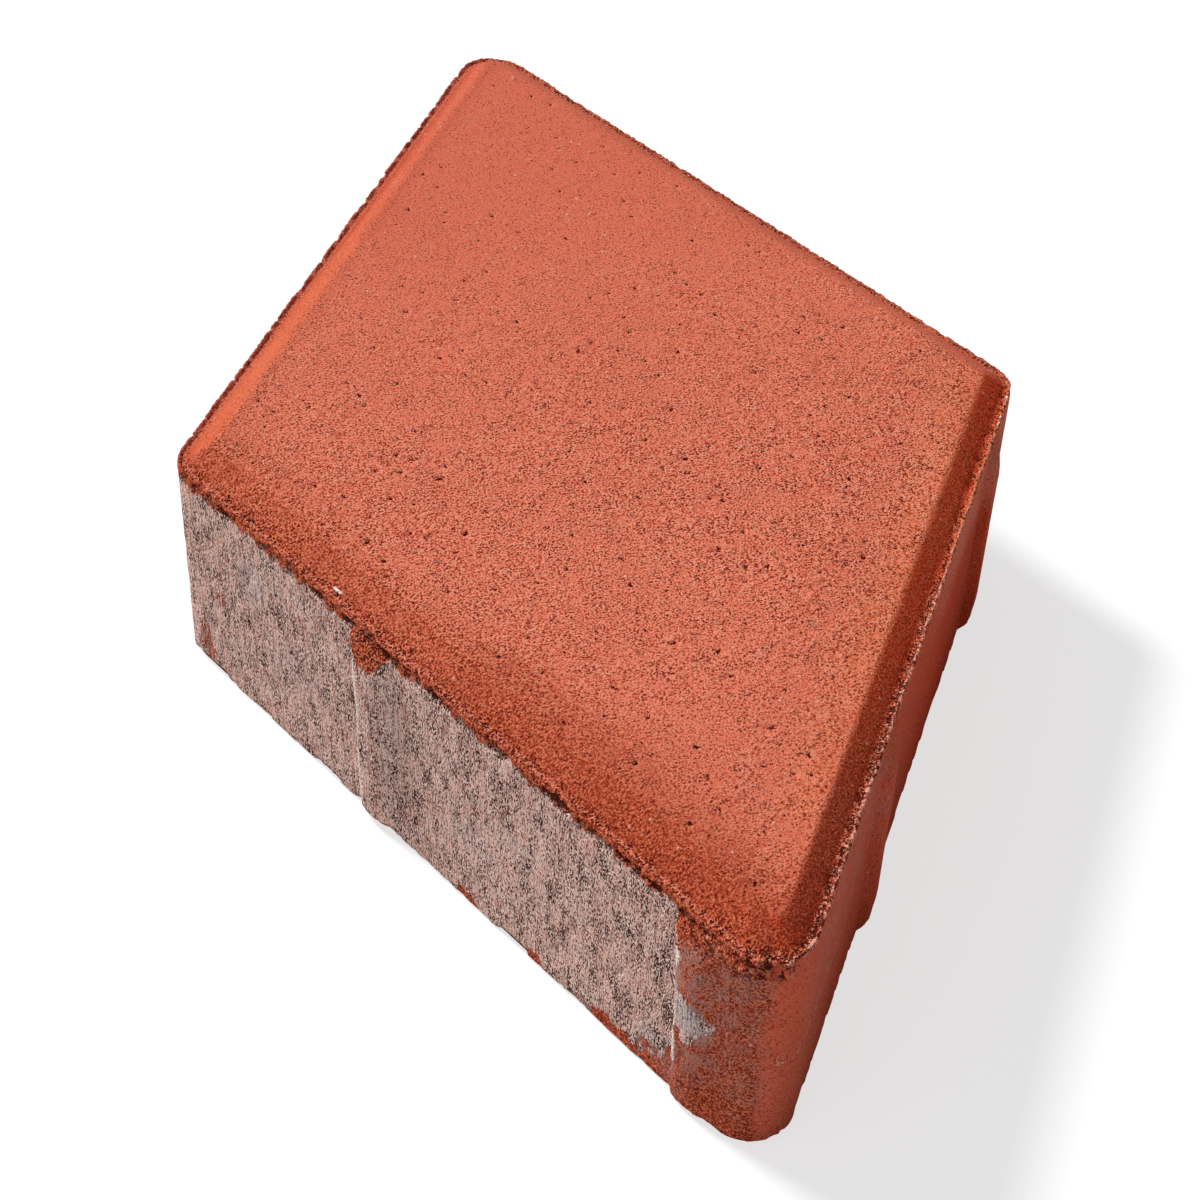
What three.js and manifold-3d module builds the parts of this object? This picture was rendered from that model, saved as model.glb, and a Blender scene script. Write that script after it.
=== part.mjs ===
// Concrete paving stone: a rhombus with a chamfered top and spacer ribs on its walls.
// It is pressed and cast in one piece, so it is one solid.
// Millimetres, +Z up. The origin is the middle of the underside.
// The long diagonal lies along Y, and the short one along X.

import * as THREE from "three";
import { mergeVertices } from "three/addons/utils/BufferGeometryUtils.js";
import Module from "manifold-3d";

// ---- Driving dimensions ----

// The laid pattern: the stone and its share of the joint fill a rhombus of this side.
const LAID_SIDE = 200;
const ACUTE_ANGLE = THREE.MathUtils.degToRad(60);
const THICKNESS = 60;
const WALL_CORNER_RADIUS = 9.4;

// The top edge: a raised lip stands on top of the wall, and the chamfer climbs from its foot.
const CHAMFER_DROP = 5;
const CHAMFER_RUN = 6.4;
const LIP_WIDTH = 1.8;
const LIP_RISE = 0.6;
const TOP_CORNER_RADIUS = 2.5;

// The spacer ribs, which keep the joint open for the sand.
const RIBS_PER_WALL = 2;
const RIB_PROJECTION = 2.4;
const RIB_ROOT_WIDTH = 13.5;
const RIB_CREST_WIDTH = 7;
const RIB_SHOULDER = 1.4;
const RIB_RUN_OUT = 8.5;
const RIB_STOP_BELOW_LIP = 1;
const LAYING_CLEARANCE = 0.6;

// How far a rib's block reaches into the stone, so that the two join.
const RIB_BED = 3;

// Straight pieces in the arc of one corner.
const CORNER_STEPS = 14;

// ---- Sizes that follow ----

// Two laid neighbours touch rib to wall, with a little clearance.
const jointWidth = RIB_PROJECTION + LAYING_CLEARANCE;
const wallSide = LAID_SIDE - jointWidth / Math.sin(ACUTE_ANGLE);
const wallTop = THICKNESS - CHAMFER_DROP;
const inradius = (wallSide * Math.sin(ACUTE_ANGLE)) / 2;

// The sharp corners of the plan, counterclockwise from the front one.
const halfWidth = wallSide * Math.sin(ACUTE_ANGLE / 2);
const halfLength = wallSide * Math.cos(ACUTE_ANGLE / 2);
const corners = [
  new THREE.Vector2(0, -halfLength),
  new THREE.Vector2(halfWidth, 0),
  new THREE.Vector2(0, halfLength),
  new THREE.Vector2(-halfWidth, 0),
];

// The wall that starts at each corner: its two ends and the way that it faces.
const walls = corners.map((start, i) => {
  const end = corners[(i + 1) % corners.length];
  const along = end.clone().sub(start).normalize();
  const outward = new THREE.Vector2(along.y, -along.x);
  return { start, end, along, outward };
});

// ---- Outlines and solids ----

// The plan's outline moved inwards by inset, with round corners.
function outline(inset, radius) {
  const shrink = 1 - (inset + radius) / inradius;
  return corners.flatMap((corner, i) => {
    const before = walls[(i + walls.length - 1) % walls.length].outward.angle();
    const turn = THREE.MathUtils.euclideanModulo(walls[i].outward.angle() - before, 2 * Math.PI);
    const centre = corner.clone().multiplyScalar(shrink);
    const arc = new THREE.ArcCurve(centre.x, centre.y, radius, before, before + turn);
    return arc.getPoints(CORNER_STEPS);
  });
}

// A closed body through outlines of as many points each, from the lowest to the highest.
function loft(levels) {
  const count = levels[0].points.length;
  const positions = levels.flatMap(({ z, points }) => points.flatMap((point) => [point.x, point.y, z]));
  const indices = [];
  for (let level = 0; level < levels.length - 1; level += 1) {
    for (let i = 0; i < count; i += 1) {
      const here = level * count + i;
      const next = level * count + ((i + 1) % count);
      indices.push(here, next, next + count, here, next + count, here + count);
    }
  }
  const highest = (levels.length - 1) * count;
  for (const [a, b, c] of THREE.ShapeUtils.triangulateShape(levels[0].points, [])) {
    indices.push(a, c, b);
  }
  for (const [a, b, c] of THREE.ShapeUtils.triangulateShape(levels.at(-1).points, [])) {
    indices.push(highest + a, highest + b, highest + c);
  }
  const geometry = new THREE.BufferGeometry();
  geometry.setAttribute("position", new THREE.Float32BufferAttribute(positions, 3));
  geometry.setIndex(indices);
  return geometry;
}

// The stone without its ribs. Its section goes up the wall, over the lip and up the chamfer.
function stoneBlock() {
  const lipCrest = wallTop + LIP_RISE;
  const section = [
    { z: 0, inset: 0, radius: WALL_CORNER_RADIUS },
    { z: wallTop, inset: 0, radius: WALL_CORNER_RADIUS },
    { z: lipCrest, inset: LIP_WIDTH / 4, radius: WALL_CORNER_RADIUS - LIP_WIDTH / 4 },
    { z: lipCrest, inset: LIP_WIDTH / 2, radius: WALL_CORNER_RADIUS - LIP_WIDTH / 2 },
    { z: wallTop, inset: LIP_WIDTH, radius: WALL_CORNER_RADIUS - LIP_WIDTH },
    { z: THICKNESS, inset: LIP_WIDTH + CHAMFER_RUN, radius: TOP_CORNER_RADIUS },
  ];
  return loft(section.map(({ z, inset, radius }) => ({ z, points: outline(inset, radius) })));
}

// A rib seen from above: X runs along the wall and Y out of it, and the wall's face is Y = 0.
function ribPlan() {
  const root = RIB_ROOT_WIDTH / 2;
  const crest = RIB_CREST_WIDTH / 2;
  const flank = new THREE.Vector2(root - crest, -RIB_PROJECTION).setLength(RIB_SHOULDER);
  const shape = new THREE.Shape();
  shape.moveTo(-root, -RIB_BED);
  shape.lineTo(root, -RIB_BED);
  shape.lineTo(root, 0);
  shape.lineTo(crest + flank.x, RIB_PROJECTION + flank.y);
  shape.quadraticCurveTo(crest, RIB_PROJECTION, crest - RIB_SHOULDER, RIB_PROJECTION);
  shape.lineTo(RIB_SHOULDER - crest, RIB_PROJECTION);
  shape.quadraticCurveTo(-crest, RIB_PROJECTION, -crest - flank.x, RIB_PROJECTION + flank.y);
  shape.lineTo(-root, 0);
  shape.closePath();
  return shape;
}

// A rib seen along the wall: X runs out of it and Y up. Its top slants back to the wall's face.
function ribElevation() {
  const stop = wallTop - RIB_STOP_BELOW_LIP;
  const slant = (distance) => stop - (distance * RIB_RUN_OUT) / RIB_PROJECTION;
  const beyond = RIB_PROJECTION + RIB_BED;
  const shape = new THREE.Shape();
  shape.moveTo(-beyond, -RIB_BED);
  shape.lineTo(beyond, -RIB_BED);
  shape.lineTo(beyond, slant(beyond));
  shape.lineTo(-beyond, slant(-beyond));
  shape.closePath();
  return shape;
}

// One rib, standing on Z = 0 against a wall whose face is Y = 0: its two views, crossed.
function ribSolid() {
  const plan = new THREE.ExtrudeGeometry(ribPlan(), {
    depth: wallTop,
    curveSegments: 4,
    bevelEnabled: false,
  });
  const elevation = new THREE.ExtrudeGeometry(ribElevation(), {
    depth: 2 * RIB_ROOT_WIDTH,
    bevelEnabled: false,
  });
  elevation.translate(0, 0, -RIB_ROOT_WIDTH);
  const outward = new THREE.Vector3(0, 1, 0);
  const up = new THREE.Vector3(0, 0, 1);
  const along = new THREE.Vector3(1, 0, 0);
  elevation.applyMatrix4(new THREE.Matrix4().makeBasis(outward, up, along));
  return toGeometry(toManifold(plan).intersect(toManifold(elevation)));
}

// Where the ribs stand. Seen from above, each wall is measured clockwise from its first corner.
// The ribs of two laid neighbours then stand at equal steps along their joint.
function ribPlaces() {
  const pitch = LAID_SIDE / RIBS_PER_WALL;
  const first = pitch / 4 - (LAID_SIDE - wallSide) / 2;
  return walls.flatMap(({ end, along, outward }) =>
    Array.from({ length: RIBS_PER_WALL }, (_, i) => {
      const foot = end.clone().addScaledVector(along, -(first + i * pitch));
      const place = new THREE.Matrix4().makeBasis(
        new THREE.Vector3(-along.x, -along.y, 0),
        new THREE.Vector3(outward.x, outward.y, 0),
        new THREE.Vector3(0, 0, 1),
      );
      return place.setPosition(foot.x, foot.y, 0);
    }),
  );
}

// ---- Joining ----

const wasm = await Module();
wasm.setup();

function toManifold(geometry) {
  const bare = geometry.clone();
  bare.deleteAttribute("normal");
  bare.deleteAttribute("uv");
  const merged = mergeVertices(bare);
  return new wasm.Manifold(
    new wasm.Mesh({
      numProp: 3,
      vertProperties: merged.attributes.position.array,
      triVerts: new Uint32Array(merged.index.array),
    }),
  );
}

function toGeometry(manifold) {
  const mesh = manifold.getMesh();
  const geometry = new THREE.BufferGeometry();
  geometry.setAttribute("position", new THREE.Float32BufferAttribute(mesh.vertProperties, 3));
  geometry.setIndex(Array.from(mesh.triVerts));
  geometry.computeVertexNormals();
  return geometry;
}

// ---- The part ----

const rib = ribSolid();
let stone = toManifold(stoneBlock());
for (const place of ribPlaces()) {
  stone = stone.add(toManifold(rib.clone().applyMatrix4(place)));
}

const redConcrete = new THREE.MeshStandardMaterial({
  color: "#b9604a",
  roughness: 0.95,
  metalness: 0,
  flatShading: true,
});

const pavingStone = new THREE.Mesh(toGeometry(stone), redConcrete);
pavingStone.name = "paving_stone";

const part = new THREE.Group();
part.add(pavingStone);

export default part;
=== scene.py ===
import math
import random

import bpy
from mathutils import Matrix, Vector, noise
from mathutils.geometry import delaunay_2d_cdt


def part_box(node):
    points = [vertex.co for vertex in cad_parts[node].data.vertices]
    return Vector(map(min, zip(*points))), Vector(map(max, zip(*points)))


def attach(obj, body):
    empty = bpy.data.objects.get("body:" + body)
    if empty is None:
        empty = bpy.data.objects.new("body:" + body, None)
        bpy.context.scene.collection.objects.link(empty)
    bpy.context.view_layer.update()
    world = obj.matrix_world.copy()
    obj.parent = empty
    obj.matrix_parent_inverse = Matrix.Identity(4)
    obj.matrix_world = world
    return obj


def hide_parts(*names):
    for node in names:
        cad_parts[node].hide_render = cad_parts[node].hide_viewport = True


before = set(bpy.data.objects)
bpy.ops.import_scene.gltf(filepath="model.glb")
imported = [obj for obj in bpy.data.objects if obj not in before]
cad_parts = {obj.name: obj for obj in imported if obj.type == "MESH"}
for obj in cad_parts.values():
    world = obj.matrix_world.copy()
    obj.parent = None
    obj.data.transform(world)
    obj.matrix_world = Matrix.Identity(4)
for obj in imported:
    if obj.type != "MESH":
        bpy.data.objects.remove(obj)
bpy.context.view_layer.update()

# A rhombus paver of dry-pressed red concrete. Lengths are in millimetres until a mesh or the
# camera is made, and then in metres. Angles are in degrees until they are used.
MM = 0.001

# ---- Sizes, as the solid has them ----

STONE = "paving_stone"
ACUTE_ANGLE = 60.0
WALL_CORNER_RADIUS = 9.4
CHAMFER_DROP = 5.0
CHAMFER_RUN = 6.4
LIP_WIDTH = 1.8
LIP_RISE = 0.6
TOP_CORNER_RADIUS = 2.5
LAID_SIDE = 200.0
RIBS_PER_WALL = 2
RIB_PROJECTION = 2.4
RIB_ROOT_WIDTH = 13.5
RIB_CREST_WIDTH = 7.0
RIB_RUN_OUT = 8.5
RIB_STOP_BELOW_LIP = 1.0

_, high_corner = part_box(STONE)
half_acute = math.radians(ACUTE_ANGLE / 2)
thickness = high_corner.z / MM
wall_top = thickness - CHAMFER_DROP
half_length = high_corner.y / MM - WALL_CORNER_RADIUS + WALL_CORNER_RADIUS / math.sin(half_acute)
half_width = half_length * math.tan(half_acute)
wall_side = half_length / math.cos(half_acute)
inradius = half_length * math.sin(half_acute)
top_inset = LIP_WIDTH + CHAMFER_RUN

# ---- What the solid leaves out ----

FRONT_RIGHT_RUN = 4.8     # the front right chamfer is narrower than the others
TOP_SAG = 0.8             # how far the top sinks at its front right edge
TOP_SAG_REACH = 22.0      # how far in from that edge it starts to sink
LIP_GRAIN = 1.25          # how wide the lip's grains are
CRUMB = 1.8               # how wide the crumbs round the acute front corner are
TORN_GRAIN = 1.6          # how wide the grains of the ribs' slanted tops are

# ---- The mesh's fineness ----

COLUMN_STEP = 0.96
FINE_COLUMNS = 2          # for each column of a wall, in the lip and the chamfer
WALL_FOOT = 0.7           # the height of the lowest row that is in the plane of the wall
WALL_ROW_STEP = 1.8
FINE_BAND = 5.0           # how much of the wall below the lip is fine too
FINE_WALL_ROWS = 9
CHAMFER_ROWS = 13
TOP_RIM = (0.7, 1.5)      # how far inside the chamfer the two rows of the top's rim are
TOP_STEP = 1.4
TOP_GRID_INSET = 2.3      # how far inside the chamfer the top's uneven grid starts
UNDERSIDE_STEP = 4.0
UNDERSIDE_GRID_INSET = 5.0

# ---- The four walls ----

FRONT_RIGHT, BACK_RIGHT, BACK_LEFT, FRONT_LEFT = range(4)

# The sharp corners of the plan, counterclockwise: front, right, back and left.
corners = [Vector((0, -half_length)), Vector((half_width, 0)),
           Vector((0, half_length)), Vector((-half_width, 0))]
wall_along = [(corners[(i + 1) % 4] - corners[i]).normalized() for i in range(4)]
wall_outward = [Vector((v.y, -v.x)) for v in wall_along]
wall_angle = [math.atan2(v.y, v.x) for v in wall_outward]


class Edge:
    """What the press and the mould left along one wall's lip and chamfer. Lengths are in mm."""

    def __init__(self, run, wave, bead, tear, sunk, gap, hollow, bend, wiped, pale, shade_red, light):
        self.run = run            # how wide its chamfer is
        self.wave = wave          # how far the lip wanders in and out
        self.bead = bead          # how far its grains stand out
        self.tear = tear          # how deep its notches are
        self.sunk = sunk          # how far its crest lies below that of the solid
        self.gap = gap            # how open it is between its grains, which are painted dark as shade in those openings, from 0 to 1
        self.hollow = hollow      # how deep the hollows below it are, which are painted dark as their shade
        self.bend = bend          # half the width of the bend between chamfer and top
        self.wiped = wiped        # how smooth the chamfer is, from 0 to 1
        self.pale = pale          # how pale the chamfer is, from 0 to 1
        self.shade_red = shade_red        # how much painted shade red it takes where it isn't pale, a brighter red for a side away from the key light, from 0 to 1
        self.light = light        # how much the lip's grains are painted light as a highlight on their tops, from 0 to 1

    def mixed(self, other, share):
        pairs = zip(vars(self).values(), vars(other).values())
        return Edge(*(a * (1 - share) + b * share for a, b in pairs))


edges = {
    FRONT_RIGHT: Edge(run=FRONT_RIGHT_RUN, wave=0.12, bead=0.55, tear=0.25, sunk=0.0, gap=0.42,
                      hollow=0.0, bend=0.4, wiped=0.5, pale=0.0, shade_red=1.0, light=1.0),
    BACK_RIGHT: Edge(run=CHAMFER_RUN, wave=0.12, bead=0.5, tear=0.25, sunk=0.5, gap=0.5,
                     hollow=0.0, bend=3.5, wiped=0.95, pale=1.0, shade_red=0.0, light=0.0),
    BACK_LEFT: Edge(run=CHAMFER_RUN, wave=0.12, bead=0.3, tear=0.35, sunk=0.1, gap=0.3,
                    hollow=0.0, bend=0.7, wiped=0.95, pale=0.92, shade_red=0.0, light=0.0),
    FRONT_LEFT: Edge(run=CHAMFER_RUN, wave=0.22, bead=0.5, tear=0.6, sunk=0.2, gap=0.38,
                     hollow=1.3, bend=4.0, wiped=0.0, pale=0.4, shade_red=0.0, light=0.0),
}


def edge_towards(facing):
    """The edge that faces this way. Round a corner its two walls' edges blend."""
    nearness = [max(0.0, outward.dot(facing)) ** 4 for outward in wall_outward]
    first, second = sorted(range(4), key=lambda i: -nearness[i])[:2]
    return edges[first].mixed(edges[second], nearness[second] / (nearness[first] + nearness[second]))


class Column:
    """One upright line of points up the stone: where it stands on the outline."""

    def __init__(self, corner, angle, wall, share, along):
        self.corner = corner      # the corner whose arc it is on, or the wall's first corner
        self.facing = Vector((math.cos(angle), math.sin(angle)))
        self.wall = wall          # the wall that it belongs to
        self.share = share        # how far along the wall's straight run, or None on an arc
        self.along = along        # distance from the wall's clockwise corner
        self.edge = edge_towards(self.facing)


def corner_turn(i):
    """How far the outline turns at corner i."""
    return (wall_angle[i] - wall_angle[i - 1]) % (2 * math.pi)


def make_columns(per_step):
    columns = []
    for i in range(4):
        turn = corner_turn(i)
        tangent = WALL_CORNER_RADIUS * math.tan(turn / 2)
        arc = WALL_CORNER_RADIUS * turn
        steps = per_step * round(arc / COLUMN_STEP)
        for k in range(steps):
            share = k / steps
            angle = wall_angle[i - 1] + turn * share
            if share < 0.5:
                columns.append(Column(i, angle, (i - 1) % 4, None, tangent - arc * share))
            else:
                columns.append(Column(i, angle, i, None, wall_side - tangent + arc * (1 - share)))
        next_tangent = WALL_CORNER_RADIUS * math.tan(corner_turn((i + 1) % 4) / 2)
        run = wall_side - tangent - next_tangent
        steps = per_step * round(run / COLUMN_STEP)
        for k in range(steps):
            share = k / steps
            columns.append(Column(i, wall_angle[i], i, share, wall_side - tangent - run * share))
    return columns


wall_columns = make_columns(1)
lip_columns = make_columns(FINE_COLUMNS)

# ---- The section ----

# From the underside to the wall: the zone, how far in and how high it is, and its tilt.
FOOT_SECTION = (("underside", 2.2, 0.0, -90), ("underside", 1.0, 0.0, -80), ("wall", 0.25, 0.1, -45))
# Over the lip: how far in it is, its height as a share of the lip's rise, and its tilt.
LIP_SECTION = ((0, 0, 20), (0.06, 0.55, 40), (0.2, 0.95, 70), (0.45, 1, 90), (0.7, 0.6, 110),
               (0.95, -0.8, 80), (LIP_WIDTH, 0, 60))


class Row:
    """One level of the section: how far in and how high it is, and which way it faces."""

    def __init__(self, columns, zone, inset, height, tilt):
        self.columns = columns
        self.zone = zone
        self.inset = inset
        self.height = height
        self.tilt = math.radians(tilt)      # 0 faces outwards, and 90 faces up

    def radius(self):
        """The radius of its corners, which tighten up the chamfer."""
        if self.zone == "underside":
            return WALL_CORNER_RADIUS
        on_lip = WALL_CORNER_RADIUS - min(self.inset, LIP_WIDTH)
        up_chamfer = min(1.0, max(0.0, (self.inset - LIP_WIDTH) / CHAMFER_RUN))
        return on_lip * (1 - up_chamfer) + TOP_CORNER_RADIUS * up_chamfer

    def outline(self):
        """The stone's outline at this row's inset, one point for each column."""
        radius = self.radius()
        shrink = 1 - (self.inset + radius) / inradius
        points = []
        for column in self.columns:
            centre = corners[column.corner] * shrink
            if column.share is not None:
                centre = centre.lerp(corners[(column.corner + 1) % 4] * shrink, column.share)
            points.append(centre + column.facing * radius)
        return points


def make_rows():
    rows = [Row(wall_columns, *step) for step in FOOT_SECTION]
    fine_from = wall_top - FINE_BAND
    steps = round((fine_from - WALL_FOOT) / WALL_ROW_STEP)
    for k in range(steps + 1):
        rows.append(Row(wall_columns, "wall", 0, WALL_FOOT + (fine_from - WALL_FOOT) * k / steps, 0))
    for k in range(1, FINE_WALL_ROWS + 1):
        rows.append(Row(lip_columns, "wall", 0, fine_from + FINE_BAND * k / (FINE_WALL_ROWS + 1), 0))
    for inset, rise, tilt in LIP_SECTION:
        rows.append(Row(lip_columns, "lip", inset, wall_top + LIP_RISE * rise, tilt))
    slope = math.degrees(math.atan2(CHAMFER_RUN, CHAMFER_DROP))
    for k in range(1, CHAMFER_ROWS + 1):
        share = k / CHAMFER_ROWS
        inset = LIP_WIDTH + CHAMFER_RUN * share
        rows.append(Row(lip_columns, "chamfer", inset, wall_top + CHAMFER_DROP * share, slope))
    for columns, inside in zip((lip_columns, wall_columns), TOP_RIM):
        rows.append(Row(columns, "top", top_inset + inside, thickness, 90))
    return rows


rows = make_rows()

# ---- Relief ----


def ramp(a, b, x):
    """Rises smoothly from 0 at a to 1 at b, and stays level outside them. Either may be the larger."""
    t = min(1.0, max(0.0, (x - a) / (b - a)))
    return t * t * (3 - 2 * t)


def rough(point, size, seed=0.0):
    """Noise about 0 with lumps of this size."""
    return noise.noise(point / size + Vector((seed, 0.7 * seed, -seed)))


def grains(point, size):
    """Rounded grains of this size, packed: -0.5 in the gaps between them and 0.5 on top."""
    return 0.5 - min(1.0, noise.voronoi(point / size)[0][0])


def inside_top(flat, wall):
    """How far this place is inside the top's edge beside a wall."""
    return inradius - top_inset - flat.to_2d().dot(wall_outward[wall])


def chamfer_share(inside, edge):
    """How far down the chamfer the surface is, from 0 to 1, this far inside the top's edge."""
    if inside >= edge.bend:
        return 0.0
    if inside <= -edge.bend:
        return -inside / edge.run
    return (edge.bend - inside) ** 2 / (4 * edge.bend) / edge.run


def height_at(flat, share):
    """The height this far down the chamfer, whose foot is level all round while the top sags."""
    level = thickness - TOP_SAG * ramp(TOP_SAG_REACH, 0, inside_top(flat, FRONT_RIGHT))
    return level - (level - wall_top) * share


# ---- Marked places ----


class Place:
    """A marked place on a wall: its middle and its half sizes, along the wall and up it."""

    def __init__(self, wall, along, height, half_long, half_high, amount):
        self.wall = wall
        self.along = along        # distance from the wall's clockwise corner
        self.height = height
        self.half_long = half_long
        self.half_high = half_high
        self.amount = amount      # how strong it is

    def share(self, column, height, wobble):
        if column.wall != self.wall:
            return 0.0
        sideways = (column.along - self.along) / self.half_long
        upwards = (height - self.height) / self.half_high
        return self.amount * ramp(1.2, 0.6, math.hypot(sideways, upwards) + wobble)


def places(wall, *each):
    """Places on one wall, from the values that a place takes after its wall."""
    return [Place(wall, *values) for values in each]


def strongest(marked, column, height, wobble):
    """How much of this point the strongest of some marked places takes."""
    return max(place.share(column, height, wobble) for place in marked)


# Where the cement film is thin, where it is grey, where it is torn, where the foot is chipped, and
# where the wall is hollow below the lip.
BARE_PLACES = places(FRONT_LEFT, (180, 26.5, 3.5, 3, 0.5), (188, 7, 4, 6, 0.6), (124, 2, 6, 2, 0.5),
                     (93, 1, 4, 2.2, 0.8), (71, 1, 5, 2.4, 0.9), (47, 2, 8, 3, 1.0), (34, 0, 5, 5, 1.0),
                     (28, 36, 3, 9, 0.3), (29, 5, 3, 9, 0.8))
GREY_PLACES = places(FRONT_LEFT, (23.5, 28.5, 6, 6, 0.85), (168, 39, 6, 6, 0.6), (118.5, 26, 3.2, 22, 0.45),
                     (91, 20, 9, 5, 0.4), (78, 31, 5, 4, 0.4), (36, 9, 5, 6, 0.6), (152, 24, 10, 9, 0.3),
                     (9, 44, 8, 8, 0.4), (18, 41, 9, 10, 0.6), (22, 18, 6, 7, 0.6), (25, 38, 5, 12, 1.0),
                     (11, 22, 7, 16, 0.32), (29, 8, 6, 7, 0.5)) + places(FRONT_RIGHT, (150, 42, 28, 20, 0.4))
TORN_PLACES = places(FRONT_LEFT, (30, 23, 2.5, 7, 0.8), (34, 12, 3.5, 3, 1.0), (38, 6, 3, 3, 1.0),
                     (20, 33, 4, 3, 0.7), (52, 46, 2.5, 3, 0.6), (47, 35, 2.5, 2.5, 0.6))
CHIPPED_PLACES = (places(FRONT_LEFT, (187, 0, 9, 1, 2.0), (143, 0, 6, 1, 1.5), (78, 0, 5, 1, 2.2),
                         (58, 0, 4, 1, 1.0), (125, 0, 8, 1, 1.9))
                  + places(FRONT_RIGHT, (60, 0, 9, 1, 1.0)) + places(BACK_LEFT, (120, 0, 7, 1, 2.2))
                  + places(BACK_RIGHT, (52, 0, 11, 1, 1.8)))
HOLLOW_PLACES = [Place(FRONT_LEFT, along, wall_top - 1.2, half_long, 1.4, 1.0)
                 for along, half_long in ((177, 2.5), (143.5, 2.2), (133, 1.6), (120, 1.8), (104, 1.5),
                                          (66, 4.5), (46.5, 3), (38.5, 2.6))]
FILM_ISLAND = Place(FRONT_LEFT, 24, 28.5, 5.5, 6, 1.0)      # film that stayed beside the front rib
SCUFF = Place(FRONT_RIGHT, 169, 25, 19, 1.8, 0.6)           # a light scrape along the wall

# Near-white grains that stand in the edges: the wall, the distance along it and in from it, and their half
# sizes.
LIGHT_GRAINS = ((FRONT_LEFT, 139.3, 2.8, 1.5, 0.35), (FRONT_RIGHT, 7.7, 0.6, 0.55, 0.4),
                (FRONT_RIGHT, 15.5, 0.5, 0.5, 0.35), (FRONT_RIGHT, 18.0, 0.5, 0.6, 0.35))

# Soft bands of the top where the pigment shows deeper: the wall, the reach into the top, the strength.
DEEP_BANDS = ((FRONT_LEFT, 19.0, 0.75), (FRONT_RIGHT, 9.0, 0.25), (BACK_LEFT, 4.0, 0.3))

# ---- What the press and the mould left ----

UNDERSIDE_FINISH = {"pale": 0.3, "crumbly": 0.5}


class Finish:
    """What the surface is like at one point: marks from 0 to 1, but light to 2 for white grains."""

    NAMES = ("film",        # covered by the film of cement
             "grey",        # greyed by cement that dried on it
             "pale",        # packed, so that its red is pale
             "shade_red",       # painted shade red: brighter and warmer, on the sides away from the key light
             "wiped",       # smooth, with little sand to see
             "sleek",       # a wall that the mould's steel wiped
             "hollow",      # a gap or a pit, painted dark as its shade
             "crumbly",     # torn, so that it has no skin
             "light")       # light grains and a scrape, and painted highlights on lip grains, crumbs, the top's standing grains and the ribs' rims

    def __init__(self, **values):
        for name in self.NAMES:
            setattr(self, name, values.get(name, 0.0))


def rib_shape(along, height):
    """How far a rib stands out here, and how much this is its slanted top and its steep flank's rim, where a
    highlight is painted.
    """
    pitch = LAID_SIDE / RIBS_PER_WALL
    first = pitch / 4 - (LAID_SIDE - wall_side) / 2
    stop = wall_top - RIB_STOP_BELOW_LIP
    slant = max(0.0, RIB_PROJECTION * (stop - height) / RIB_RUN_OUT)
    full = RIB_PROJECTION * (0.75 + 0.25 * ramp(0, 8, height))
    out = flank = 0.0
    for k in range(RIBS_PER_WALL):
        past = along - first - k * pitch
        if past > 0:
            rim = RIB_CREST_WIDTH / 2 + 0.3 + 0.033 * height + 1.2 * ramp(44, 54, height)
            out = max(out, full * ramp(rim + 1.5 + ramp(8, 0, height), rim, past))
            dip = 0.3 * ramp(rim - 1.2, rim - 0.2, past) * ramp(rim + 1.0, rim, past)
            out = max(out, 0.0) - dip
            flank = max(flank, ramp(1.2, 0.3, abs(past - rim)))
        else:
            out = max(out, full * ramp(RIB_ROOT_WIDTH / 2, 0.0, -past))
    sloped = ramp(0.0, 0.5, out - slant)
    return min(out, slant), sloped, flank * (1 - sloped)


def film_cover(point, flat, column, height, sloped):
    """How much cement film covers this point of a wall, from 0 to 1."""
    facing = abs(column.facing.dot(wall_outward[FRONT_LEFT])) + 0.1 * rough(point, 5, 2)
    film = ramp(0.70, 0.98, facing)
    ragged = wall_top - 1.1 + 2.0 * rough(flat, 6, 3) + 1.2 * rough(flat, 1.8, 13)
    film *= ramp(ragged + 0.6, ragged - 2.4, height)
    film *= 1 - sloped
    wobble = 0.5 * rough(point, 4, 1)
    for place in BARE_PLACES:
        film *= 1 - place.share(column, height, wobble)
    if column.wall == FRONT_LEFT:
        worn_to = min(52 - 1.35 * column.along + 9 * rough(point, 8, 5) + 5 * rough(point, 2.5, 6), 36)
        film *= ramp(-3.0, 4.0, height - worn_to)
        film *= 1 - 0.75 * ramp(30, 27.5, column.along) - 0.25 * ramp(24, 14, column.along)
        film = max(film, FILM_ISLAND.share(column, height, wobble))
    return film


def foot_chip(flat, column, height, sleek, wobble):
    """How deep the wall is chipped here, along its foot."""
    chip = 0.4 + 2.0 * max(0.0, rough(flat, 8, 5) - 0.12)
    chip += (0.8 + 1.0 * sleek) * max(-0.2, rough(flat, 2.0, 15))
    chip = max(chip, strongest(CHIPPED_PLACES, column, 0, wobble))
    return max(0.0, chip - height)


def lip_hollow(flat, column, height, wobble):
    """How hollow the wall is here, just below the lip: set back, and painted dark as its shade."""
    below = wall_top - height
    foot = 2.8 + 2.4 * rough(flat, 4, 35)
    under = ramp(0.0, 0.3, below) * ramp(foot + 0.8, foot - 0.6, below)
    torn = 0.1 + 0.6 * ramp(-0.1, 0.3, rough(flat, 2.0, 33))
    hollow = max(torn * under, strongest(HOLLOW_PLACES, column, height, wobble))
    return hollow * (column.edge.hollow / edges[FRONT_LEFT].hollow)


def front_burr(column):
    """How near this is to the acute front corner, where the lip is a taller, crumbly band."""
    if column.wall == FRONT_LEFT:
        return ramp(21, 12, column.along)
    return ramp(11, 7, wall_side - column.along) if column.wall == FRONT_RIGHT else 0.0


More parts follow.
